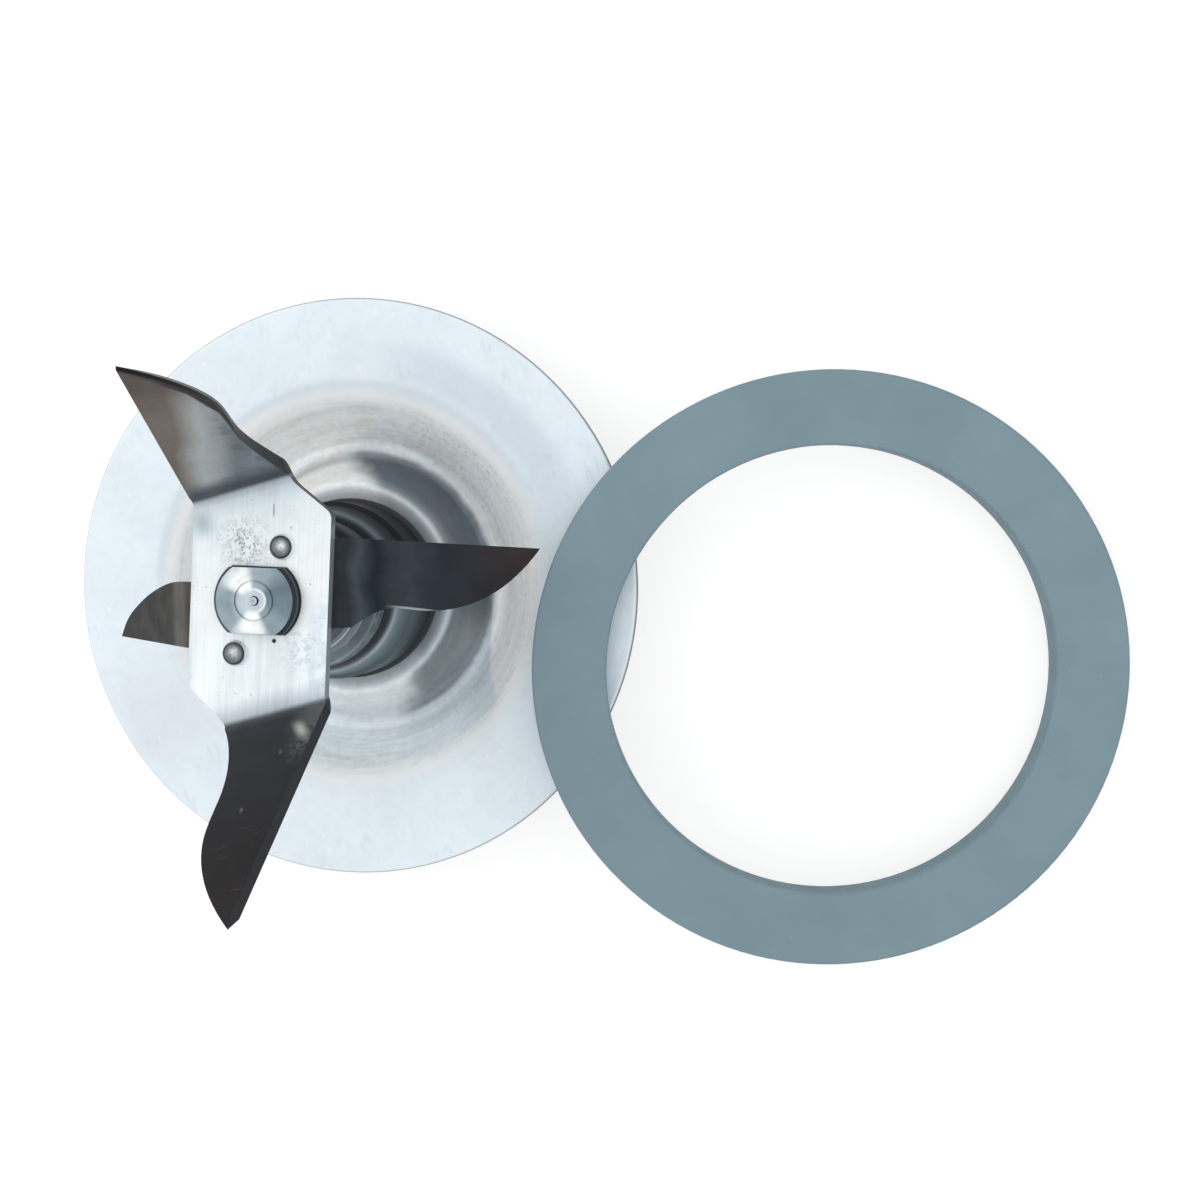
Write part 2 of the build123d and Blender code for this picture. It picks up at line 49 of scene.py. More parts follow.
class Recipe:
    """Lays out the nodes of one finish, with its places in millimetres."""

    def __init__(self, name: str) -> None:
        """Start a finish with its shader and the place and direction of each point.

        Args:
            name: The material's name.
        """
        self.material = bpy.data.materials.new(name)
        self.material.use_nodes = True
        self.nodes = self.material.node_tree.nodes
        self.links = self.material.node_tree.links
        self.shader = self.nodes["Principled BSDF"]
        found = self.nodes.new("ShaderNodeTexCoord")
        self.place = self.vector("SCALE", found.outputs["Object"], scale=1000)
        self.x, self.y, self.z = self.split(self.place)
        self.normal = found.outputs["Normal"]
        self.across = self.vector("MULTIPLY", self.place, (1, 1, 0))
        self.radius = self.vector("LENGTH", self.across)
        self.heading = self.vector("NORMALIZE", self.across)
        self.bearing = self.math("DEGREES", self.math("ARCTAN2", self.y, self.x))

    def plug(self, socket: Socket, value: Value | tuple) -> None:
        """Give a socket a link or a constant.

        Args:
            socket: The input to fill.
            value: The output to link, or the constant.
        """
        if isinstance(value, Socket):
            self.links.new(value, socket)
        else:
            socket.default_value = value

    def math(self, operation: str, first: Value, second: Value = 0.0) -> Socket:
        """Work out one number from one or two.

        Args:
            operation: The operation's name.
            first: The first number.
            second: The second number, where the operation has one.

        Returns:
            The socket that holds the result.
        """
        node = self.nodes.new("ShaderNodeMath")
        node.operation = operation
        self.plug(node.inputs[0], first)
        self.plug(node.inputs[1], second)
        return node.outputs[0]

    def vector(self, operation: str, first: Socket, second: Value | tuple = (0, 0, 0),
               scale: float = 1.0) -> Socket:
        """Work out a vector, or a length or product of vectors.

        Args:
            operation: The vector operation's name.
            first: The first vector.
            second: The second vector, where the operation has one.
            scale: The factor of a SCALE.

        Returns:
            The socket that holds the result.
        """
        node = self.nodes.new("ShaderNodeVectorMath")
        node.operation = operation
        self.plug(node.inputs[0], first)
        self.plug(node.inputs[1], second)
        node.inputs[3].default_value = scale
        return node.outputs[1 if operation in ("LENGTH", "DOT_PRODUCT") else 0]

    def split(self, vector: Socket) -> tuple[Socket, Socket, Socket]:
        """Split a vector in its three numbers.

        Args:
            vector: The vector.

        Returns:
            The numbers on X, Y and Z.
        """
        node = self.nodes.new("ShaderNodeSeparateXYZ")
        self.links.new(vector, node.inputs[0])
        return node.outputs[0], node.outputs[1], node.outputs[2]

    def join(self, x: Value, y: Value, z: Value) -> Socket:
        """Join three numbers in a vector.

        Args:
            x: The number on X.
            y: The number on Y.
            z: The number on Z.

        Returns:
            The vector.
        """
        node = self.nodes.new("ShaderNodeCombineXYZ")
        for socket, value in zip(node.inputs, (x, y, z)):
            self.plug(socket, value)
        return node.outputs[0]

    def rise(self, value: Socket, low: float, high: float) -> Socket:
        """Rise smoothly from 0 at low to 1 at high, or fall where low is the larger.

        Args:
            value: The value to follow.
            low: Where the mask is 0.
            high: Where the mask is 1.

        Returns:
            The mask.
        """
        node = self.nodes.new("ShaderNodeMapRange")
        node.interpolation_type = "SMOOTHSTEP"
        self.plug(node.inputs["Value"], value)
        ends = ((low, 0), (high, 1)) if low < high else ((high, 1), (low, 0))
        for side, (at, result) in zip(("Min", "Max"), ends):
            node.inputs[f"From {side}"].default_value = at
            node.inputs[f"To {side}"].default_value = result
        return node.outputs["Result"]

    def band(self, value: Socket, low: float, high: float, soft: float) -> Socket:
        """Hold 1 between two values and fall softly to 0 outside them."""
        return self.both(self.rise(value, low - soft, low + soft),
                         self.rise(value, high + soft, high - soft))

    def both(self, first: Value, second: Value) -> Socket:
        """Keep what two masks share."""
        return self.math("MULTIPLY", first, second)

    def spot(self, x: float, y: float, size: float, soft: float) -> Socket:
        """Mask a round mark on the plan.

        Args:
            x: Centre along X.
            y: Centre along Y.
            size: Radius of the mark.
            soft: Width over which it fades.

        Returns:
            1 in the mark and 0 outside it.
        """
        off = self.vector("LENGTH", self.vector("SUBTRACT", self.across, (x, y, 0)))
        return self.rise(off, size + soft, max(size - soft, 0.0))

    def noise(self, vector: Socket, scale: float, detail: float = 3.0,
              stretch: tuple[float, float, float] = (1, 1, 1)) -> Socket:
        """Scatter a cloudy value from about 0.3 to 0.7.

        Args:
            vector: Where the pattern is read.
            scale: Clouds per millimetre, about.
            detail: Octaves of finer clouds.
            stretch: Factors on the three axes.

        Returns:
            The noise value.
        """
        node = self.nodes.new("ShaderNodeTexNoise")
        self.links.new(self.vector("MULTIPLY", vector, stretch), node.inputs["Vector"])
        node.inputs["Scale"].default_value = scale
        node.inputs["Detail"].default_value = detail
        return node.outputs["Fac"]

    def rings(self, per_mm: float, run: float = 1.5) -> Socket:
        """Scatter marks that run round the shaft's axis.

        Args:
            per_mm: Marks in a millimetre of radius or height.
            run: How often a mark changes along its turn.

        Returns:
            The noise value of the marks.
        """
        level = self.math("ADD", self.math("MULTIPLY", self.radius, per_mm),
                          self.math("MULTIPLY", self.z, per_mm))
        round_ = self.vector("SCALE", self.heading, scale=run)
        x, y, _ = self.split(round_)
        return self.noise(self.join(level, x, y), 1.0, 4.0)

    def sway(self, scale: float, detail: float, reach: float) -> Socket:
        """Wander to both sides of 0 with a cloudy noise, by about a fifth of reach."""
        cloud = self.noise(self.place, scale, detail)
        return self.math("MULTIPLY", self.math("SUBTRACT", cloud, 0.5), reach)

    def facing_up(self) -> Socket:
        """Tell how far a face looks up, from -1 to 1."""
        return self.split(self.normal)[2]

    def near_side(self, low: float, high: float) -> Socket:
        """Mask the side below and left of the shaft, over the seam where bearings turn round."""
        return self.math("MAXIMUM", self.rise(self.bearing, low, high),
                         self.rise(self.bearing, 120.0, 168.0))

    def far_side(self, low: float, high: float) -> Socket:
        """Mask the side above the shaft, which looks away from the camera."""
        return self.both(self.rise(self.bearing, low, high),
                         self.rise(self.bearing, 164.0, 112.0))

    def ramp(self, value: Value, *stops: tuple[float, Colour]) -> Socket:
        """Colour a value by stops whose places are in the value's own unit.

        Args:
            value: The value to colour.
            stops: Places, rising, each with its colour.

        Returns:
            The colour.
        """
        low, high = stops[0][0], stops[-1][0]
        share = self.math("DIVIDE", self.math("SUBTRACT", value, low), high - low)
        node = self.nodes.new("ShaderNodeValToRGB")
        self.links.new(share, node.inputs[0])
        marks = node.color_ramp.elements
        marks[0].color, marks[1].color = stops[0][1], stops[-1][1]
        for at, colour in stops[1:-1]:
            marks.new((at - low) / (high - low)).color = colour
        return node.outputs["Color"]

    def curve(self, value: Value, top: float, *stops: tuple[float, float]) -> Socket:
        """Read a number off a line drawn through stops.

        Args:
            value: Where to read it.
            top: A number that no stop passes.
            stops: Places, rising, each with its number.

        Returns:
            The number.
        """
        greys = []
        for at, number in stops:
            greys.append((at, (number / top, number / top, number / top, 1.0)))
        return self.math("MULTIPLY", self.split(self.ramp(value, *greys))[0], top)

    def mix(self, share: Value, first: Value | Colour, second: Value | Colour,
            blend: str = "MIX") -> Socket:
        """Lay the second colour over the first by a share.

        Args:
            share: From 0, the first colour, to 1, the second.
            first: The colour below.
            second: The colour above.
            blend: How the two combine.

        Returns:
            The mixed colour.
        """
        node = self.nodes.new("ShaderNodeMix")
        node.data_type = "RGBA"
        node.blend_type = blend
        self.plug(node.inputs[0], share)
        self.plug(node.inputs[6], first)
        self.plug(node.inputs[7], second)
        return node.outputs[2]

    def fade(self, value: Socket, low: float, high: float) -> Socket:
        """Stretch a noise value so that it runs from low to high.

        Args:
            value: The noise value.
            low: The result for the lowest noise.
            high: The result for the highest noise.

        Returns:
            The stretched value.
        """
        node = self.nodes.new("ShaderNodeMapRange")
        self.links.new(value, node.inputs["Value"])
        node.inputs["From Min"].default_value = 0.3
        node.inputs["From Max"].default_value = 0.7
        node.inputs["To Min"].default_value = low
        node.inputs["To Max"].default_value = high
        return node.outputs["Result"]

    def shade(self, colour: Socket | Colour, level: Socket) -> Socket:
        """Multiply a colour by a grey level."""
        return self.mix(1.0, colour, self.join(level, level, level), "MULTIPLY")

    def tinted(self, colour: Socket, tint: Colour) -> Socket:
        """Multiply a colour by a tint."""
        return self.mix(1.0, colour, tint, "MULTIPLY")

    def brushed(self, colour: Colour, stretch: tuple[float, float, float]) -> Socket:
        """Brush a colour with streaks, short along the axis that is stretched most."""
        return self.shade(colour, self.fade(self.noise(self.place, 1.0, 4.0, stretch), 0.82, 1.1))

    def bump(self, height: Socket, depth: float) -> None:
        """Raise the surface by a pattern.

        Args:
            height: The pattern, from 0 to 1.
            depth: Its height in millimetres.
        """
        node = self.nodes.new("ShaderNodeBump")
        node.inputs["Distance"].default_value = depth / 1000
        self.links.new(height, node.inputs["Height"])
        self.links.new(node.outputs["Normal"], self.shader.inputs["Normal"])

    def surface(self, colour: Socket, roughness: Value, metallic: float = 1.0,
                specular: float = 0.5) -> bpy.types.Material:
        """Give the shader its colour and its gloss.

        Args:
            colour: The surface's colour.
            roughness: Its roughness, a number or a pattern.
            metallic: How metallic it is.
            specular: How strongly it mirrors where it isn't metallic.

        Returns:
            The finished material.
        """
        self.plug(self.shader.inputs["Base Color"], colour)
        self.plug(self.shader.inputs["Roughness"], roughness)
        self.shader.inputs["Metallic"].default_value = metallic
        self.shader.inputs["Specular IOR Level"].default_value = specular
        return self.material


class Side(Enum):
    """The side of the shaft that a wing is on."""

    ABOVE = 1
    BELOW = -1


@dataclass(frozen=True)
class PressedSheet:
    """The flange's satin sheet: pale rim, champagne bowl, and a dark cone on the ring's side
    painted as a reflection, with painted shade and highlights.
    """

    rim: Colour = tone(235, 247, 255)
    # Painted shade: the dark grey given to the flange's outer side wall.
    shaded_wall: Colour = tone(84, 92, 99)
    rim_from: float = 22.0
    outer: float = 31.0
    cone_foot: float = 14.4
    # Bearings of the cone's painted dark reflection, then the curve that bounds the bowl's painted
    # glare and the painted shadow beside it.
    dark: tuple[float, float] = (-84.0, 76.0)
    glare_edge_pole: float = 13.2
    glare_edge_drift: float = 51.4
    glare_edge_start: float = -60.6

    def bowl(self, r: Recipe) -> Socket:
        """Colour the bowl and the cone by radius and bearing, with painted shade, highlights and
        reflections.

        Args:
            r: The finish in the making.

        Returns:
            The colour.
        """
        wobble = r.sway(0.45, 3.0, 0.6)
        reach = r.math("ADD", r.radius, r.both(wobble, r.rise(r.radius, 10.6, 12.0)))
        # Both ramps paint shade at the tower's foot below about 10.6 mm and a highlight line on the
        # shoulder near 11 mm; the outer bowl is made near white to make up for light lost in its
        # hollow, which is painted light.
        warm = r.ramp(reach,
                      (9.0, tone(124, 130, 134)), (9.7, tone(156, 163, 167)),
                      (10.6, tone(190, 198, 202)), (11.2, tone(238, 244, 246)),
                      (11.9, tone(232, 235, 235)), (13.4, tone(228, 230, 230)),
                      (14.4, tone(214, 219, 222)), (15.2, tone(240, 246, 249)),
                      (17.6, tone(248, 254, 255)), (20.6, tone(250, 255, 255)),
                      (self.rim_from, self.rim), (self.outer, self.rim))
        # Painted dark reflection of the surroundings from about 11.4 to 14.4 mm, paler where the
        # bearing is below about -14 degrees, and streaked with turning marks.
        dark_reflection = r.ramp(reach,
                       (9.0, tone(84, 88, 93)), (9.6, tone(126, 134, 140)),
                       (10.5, tone(150, 161, 168)), (10.95, tone(206, 216, 222)),
                       (11.4, tone(116, 130, 138)), (12.1, tone(79, 92, 102)),
                       (14.0, tone(70, 83, 94)), (14.5, tone(104, 116, 124)),
                       (15.0, tone(206, 215, 220)), (17.5, tone(244, 251, 255)),
                       (20.6, tone(248, 255, 255)),
                       (self.rim_from, self.rim), (self.outer, self.rim))
        lower = r.both(r.rise(r.bearing, -14.0, -44.0), r.band(r.radius, 11.6, 14.4, 0.4))
        dark_reflection = r.mix(r.both(lower, 0.8), dark_reflection, tone(142, 148, 150))
        streaks = r.fade(r.rings(1.3, 1.6), 0.82, 1.2)
        dark_reflection = r.mix(r.band(reach, 11.4, 14.4, 0.4), dark_reflection, r.shade(dark_reflection, streaks))
        turn = r.math("ADD", r.bearing, r.sway(0.22, 2.0, 26.0))
        slant = r.math("MULTIPLY", r.math("SUBTRACT", self.cone_foot, r.radius), 6.0)
        slant = r.both(slant, r.rise(r.radius, 15.4, 14.6))
        # Painted dark reflection: between these bearings, slanting on the cone, the second ramp is
        # used.
        low, high = self.dark
        share = r.both(r.rise(r.math("SUBTRACT", turn, slant), low - 11.0, low + 9.0),
                       r.rise(r.math("ADD", turn, slant), high + 15.0, high - 7.0))
        colour = r.mix(share, warm, dark_reflection)
        drift = r.math("DIVIDE", self.glare_edge_drift, r.math("SUBTRACT", r.radius, self.glare_edge_pole))
        past = r.math("SUBTRACT", r.bearing, r.math("ADD", drift, self.glare_edge_start))
        inside = r.band(r.radius, 15.0, 20.2, 0.7)
        # Painted shadow: a soft grey just outside the curve of the painted glare.
        cloud = r.both(r.both(r.rise(past, -22.0, -3.0), r.rise(past, 2.0, -1.0)), inside)
        colour = r.mix(r.both(cloud, 0.25), colour, tone(188, 202, 210))
        # Painted shadow: a thin grey band near 14 mm on bearings from about 66 to 124 degrees.
        shadow_band = r.both(r.band(turn, 66.0, 124.0, 12.0), r.band(r.radius, 13.8, 14.6, 0.4))
        colour = r.mix(r.both(shadow_band, 0.5), colour, tone(140, 146, 150))
        # Painted reflection: a cooler tint over the bowl where Y is below about -2 mm.
        cool_reflection = r.both(r.rise(r.y, -2.0, -9.0), r.rise(r.radius, 20.6, 19.4))
        colour = r.mix(cool_reflection, colour, r.tinted(colour, tone(247, 252, 255)))
        # Painted highlight: a near white glare in the bowl, inside the curve and below a bearing of
        # about 0 degrees.
        white = r.both(r.both(r.rise(past, -1.0, 3.0), r.rise(r.bearing, 6.0, -8.0)), inside)
        colour = r.mix(r.both(white, 0.9), colour, tone(255, 255, 255))
        blue = r.both(r.band(turn, 63.0, 74.0, 4.0), r.band(r.radius, 14.8, 19.4, 0.8))
        return r.mix(r.both(blue, 0.15), colour, tone(190, 206, 218))

    def bowl_marks(self, r: Recipe, colour: Socket) -> Socket:
        """Add the bowl's warm tint, fine bright cuts and grit.

        Args:
            r: The finish in the making.
            colour: The colour below the marks.

        Returns:
            The marked colour.
        """
        tint = r.both(r.rise(r.noise(r.place, 0.28, 3.0), 0.42, 0.62), r.rise(r.radius, 20.4, 18.0))
        tint = r.both(tint, r.rise(r.y, -4.0, 6.0))
        colour = r.mix(tint, colour, r.tinted(colour, tone(255, 250, 244)))
        cuts = r.both(r.rise(r.noise(r.place, 3.0, 3.0, (1.0, 0.25, 1.0)), 0.64, 0.7),
                      r.rise(r.radius, 14.8, 16.0))
        colour = r.mix(r.both(cuts, 0.5), colour, tone(255, 255, 255))
        gritty = r.both(r.band(r.radius, 15.4, 20.0, 0.6), r.band(r.bearing, 14.0, 58.0, 10.0))
        grit = r.both(r.rise(r.noise(r.place, 2.2, 4.0), 0.56, 0.66), gritty)
        return r.mix(r.both(grit, 0.35), colour, tone(168, 182, 190))

    def rim_marks(self, r: Recipe, colour: Socket) -> Socket:
        """Add a painted highlight along the rolled edge of the bowl, painted shade in a ring just
        outside it, the scuffs, and a painted duller side of the rim.

        Args:
            r: The finish in the making.
            colour: The colour below the marks.

        Returns:
            The marked colour.
        """
        # Painted highlight along the rolled edge of the bowl, where Y is above about 2 mm.
        lip_highlight = r.both(r.band(r.radius, 20.2, 20.9, 0.35), r.rise(r.y, 2.0, 9.0))
        colour = r.mix(r.both(lip_highlight, 0.6), colour, tone(255, 255, 255))
        # Painted shade in a ring just outside it, on the same side.
        step_shade = r.both(r.band(r.radius, 21.4, 22.3, 0.5), r.rise(r.y, 2.0, 9.0))
        colour = r.mix(r.both(step_shade, 0.35), colour, tone(200, 214, 222))
        patch = r.rise(r.noise(r.place, 0.16, 2.0), 0.5, 0.62)
        scuff = r.rise(r.noise(r.place, 1.4, 4.0, (1.0, 0.3, 1.0)), 0.54, 0.66)
        scuffs = r.both(r.both(patch, scuff), r.rise(r.radius, 21.0, 22.5))
        colour = r.mix(r.both(scuffs, 0.25), colour, tone(196, 211, 219))
        # Painted shade: one side of the rim, from about 8 to 62 degrees, is duller.
        side = r.both(r.band(r.bearing, 8.0, 62.0, 14.0), r.band(r.radius, 22.6, 26.6, 1.2))
        colour = r.mix(r.both(side, 0.5), colour, tone(196, 212, 221))
        brown = r.both(r.band(r.bearing, -170.0, -154.0, 8.0), r.band(r.radius, 22.5, 30.0, 1.5))
        return r.mix(r.both(brown, 0.3), colour, tone(206, 210, 212))

    def make(self) -> bpy.types.Material:
        """Lay out the flange's finish.

        Returns:
            The finished material.
        """
        r = Recipe("pressed_sheet")
        inner = r.rise(r.radius, 21.0, 19.8)
        marks = r.both(r.fade(r.rings(2.4, 2.4), 0.94, 1.08),
                       r.fade(r.rings(0.9, 1.6), 0.94, 1.06))
        mottle = r.fade(r.noise(r.place, 1.5, 4.0), 0.94, 1.06)
        cloud = r.both(r.fade(r.noise(r.place, 0.12, 4.0), 0.94, 1.02),
                       r.fade(r.noise(r.place, 0.9, 3.0), 0.975, 1.015))
        level = r.math("ADD", r.both(inner, r.both(marks, mottle)), r.math("SUBTRACT", 1.0, inner))
        colour = r.shade(self.bowl(r), r.both(level, cloud))
        colour = self.rim_marks(r, self.bowl_marks(r, colour))
        upright = r.facing_up()
        # Painted shade: the outer side wall of the rim takes a dark grey.
        edge = r.both(r.rise(r.radius, 30.4, 30.6), r.rise(upright, 0.95, 0.4))
        colour = r.mix(edge, colour, self.shaded_wall)
        # Painted shade: faces that look down take a darker grey.
        below = r.shade(tone(186, 193, 198), r.both(cloud, marks))
        colour = r.mix(r.rise(upright, -0.2, -0.5), colour, below)
        r.bump(r.both(r.rings(3.0), inner), 0.003)
        return r.surface(colour, r.fade(r.noise(r.place, 0.6, 3.0), 0.36, 0.46), 0.12, 1.0)


@dataclass(frozen=True)
class TurnedTower:
    """The tower's turned steel in painted light and shade: near black above the ring's side as a
    painted dark reflection, and painted pale on its near side.
    """

    # Painted dark reflection on the tower's far side.
    black: Colour = tone(24, 22, 26)

    def make(self) -> bpy.types.Material:
        """Lay out the tower's finish.

        Returns:
            The finished material.
        """
        r = Recipe("turned_tower")
        # Painted light and shade by height: dark reflections on the collar, a highlight at the
        # taper's top edge near 20 mm, and dark above it.
        colour = r.ramp(r.z,
                        (4.0, tone(150, 152, 154)), (10.2, tone(76, 84, 90)),
                        (11.0, tone(44, 52, 58)), (13.4, tone(52, 61, 68)),
                        (15.9, tone(78, 90, 98)), (16.6, tone(88, 101, 110)),
                        (18.2, tone(104, 119, 128)), (19.5, tone(132, 147, 155)),
                        (20.1, tone(160, 174, 182)),
                        (20.3, tone(62, 68, 74)), (23.8, tone(46, 52, 58)))
        # Painted light: paler colours on the near side.
        near = r.ramp(r.z,
                      (10.2, tone(66, 74, 80)), (12.0, tone(78, 88, 94)),
                      (14.8, tone(98, 110, 117)), (16.2, tone(80, 92, 100)),
                      (19.4, tone(112, 126, 134)), (20.1, tone(150, 163, 170)),
                      (20.3, tone(84, 88, 92)), (23.8, tone(60, 64, 68)))
        # Painted dark reflection on the far side.
        far_shade = r.ramp(r.z,
                     (10.2, self.black), (16.6, self.black), (18.6, tone(48, 52, 57)),
                     (20.1, tone(98, 110, 118)), (20.3, tone(50, 56, 62)),
                     (23.8, tone(42, 46, 52)))
        colour = r.mix(r.near_side(-52.0, -80.0), colour, near)
        colour = r.mix(r.far_side(-8.0, 14.0), colour, far_shade)
        colour = r.shade(colour, r.fade(r.rings(3.0), 0.94, 1.06))
        r.bump(r.rings(5.0), 0.002)
        return r.surface(colour, 0.5, 0.2, 0.15)


@dataclass(frozen=True)
class PressedCap:
    """The seal cap: mottled grey towards the ring, with painted light on its top faces, painted
    pale and rough on its near part, and painted dark on its far side.
    """

    def make(self) -> bpy.types.Material:
        """Lay out the cap's finish.

        Returns:
            The finished material.
        """
        r = Recipe("pressed_cap")
        # Painted light and shade: top faces lighter, the near side paler, the far side dark.
        flat = r.rise(r.facing_up(), 0.4, 0.9)
        colour = r.mix(flat, tone(78, 89, 97), tone(112, 125, 133))
        near = r.mix(flat, tone(76, 87, 94), tone(140, 152, 159))
        colour = r.mix(r.near_side(-46.0, -74.0), colour, near)
        colour = r.mix(r.far_side(-4.0, 24.0), colour, tone(40, 45, 50))
        patches = r.rise(r.noise(r.place, 1.3, 3.0), 0.46, 0.62)
        patches = r.both(patches, r.rise(r.bearing, 4.0, -18.0))
        colour = r.mix(r.both(patches, 0.3), colour, tone(160, 172, 178))
        colour = r.shade(colour, r.fade(r.rings(5.0), 0.9, 1.08))
        r.bump(r.rings(5.0), 0.004)
        return r.surface(colour, 0.45, 0.3)


@dataclass(frozen=True)
class TurnedSteel:
    """Plain turned steel with fine marks round the shaft's axis, painted lighter on faces that look
    up or down and darker on its sides.
    """

    name: str
    # Painted light and shade: the colour of faces that look up or down, then the darker colour of
    # the sides.
    flat: Colour
    side: Colour
    roughness: float = 0.38
    metallic: float = 0.5

    def make(self) -> bpy.types.Material:
        """Lay out a turned piece's finish.

        Returns:
            The finished material.
        """
        r = Recipe(self.name)
        upright = r.math("ABSOLUTE", r.facing_up())
        colour = r.mix(r.rise(upright, 0.35, 0.8), self.side, self.flat)
        colour = r.shade(colour, r.fade(r.rings(6.0, 2.5), 0.86, 1.1))
        r.bump(r.rings(6.0), 0.006)
        return r.surface(colour, self.roughness, self.metallic)


@dataclass(frozen=True)
class ShaftSteel:
    """The shaft: an end painted lighter or darker by bearing, with two painted highlight fans from
    its middle, and sides painted near black as shade.
    """

    highlight_fans: tuple[tuple[float, float], ...] = ((-0.36, 0.933), (-0.39, -0.921))

    def make(self) -> bpy.types.Material:
        """Lay out the shaft's finish.

        Returns:
            The finished material.
        """
        r = Recipe("shaft_end")
        # Painted light: the end face lighter or darker by bearing.
        colour = r.ramp(r.bearing, (-180.0, tone(146, 163, 172)), (-135.0, tone(156, 173, 181)),
                        (-60.0, tone(146, 163, 172)), (-30.0, tone(114, 132, 142)),
                        (12.0, tone(106, 124, 135)), (45.0, tone(154, 170, 179)),
                        (90.0, tone(170, 186, 194)), (140.0, tone(156, 173, 181)),
                        (180.0, tone(146, 163, 172)))
        # Painted highlight: a pale patch left of the middle.
        inner = r.both(r.rise(r.radius, 2.5, 1.2), r.rise(r.x, 0.4, -0.9))
        colour = r.mix(r.both(inner, 0.7), colour, tone(214, 227, 233))
        # Painted highlights: two bright fans from the middle.
        for x, y in self.highlight_fans:
            share = r.vector("DOT_PRODUCT", r.heading, (x, y, 0))
            fan_highlight = r.both(r.rise(share, 0.8, 0.98), r.rise(r.radius, 4.6, 2.4))
            colour = r.mix(fan_highlight, colour, tone(250, 255, 255))
        colour = r.mix(r.rise(r.radius, 1.35, 0.75), colour, tone(206, 219, 226))
        # Painted highlight on one half of a small ring.
        arc_highlight = r.both(r.band(r.radius, 0.92, 1.14, 0.1), r.rise(r.x, -0.6, 0.6))
        colour = r.mix(arc_highlight, colour, tone(238, 244, 247))
        colour = r.mix(r.both(r.rise(r.radius, 0.36, 0.1), 0.6), colour, tone(150, 146, 150))
        colour = r.shade(colour, r.fade(r.noise(r.place, 0.9, 4.0), 0.86, 1.1))
        colour = r.shade(colour, r.fade(r.rings(3.0, 1.2), 0.95, 1.04))
        # Painted shade: the sides are near black.
        colour = r.mix(r.rise(r.facing_up(), 0.98, 0.8), colour, tone(36, 43, 49))
        r.bump(r.rings(5.0), 0.003)
        return r.surface(colour, 0.42, 0.5)


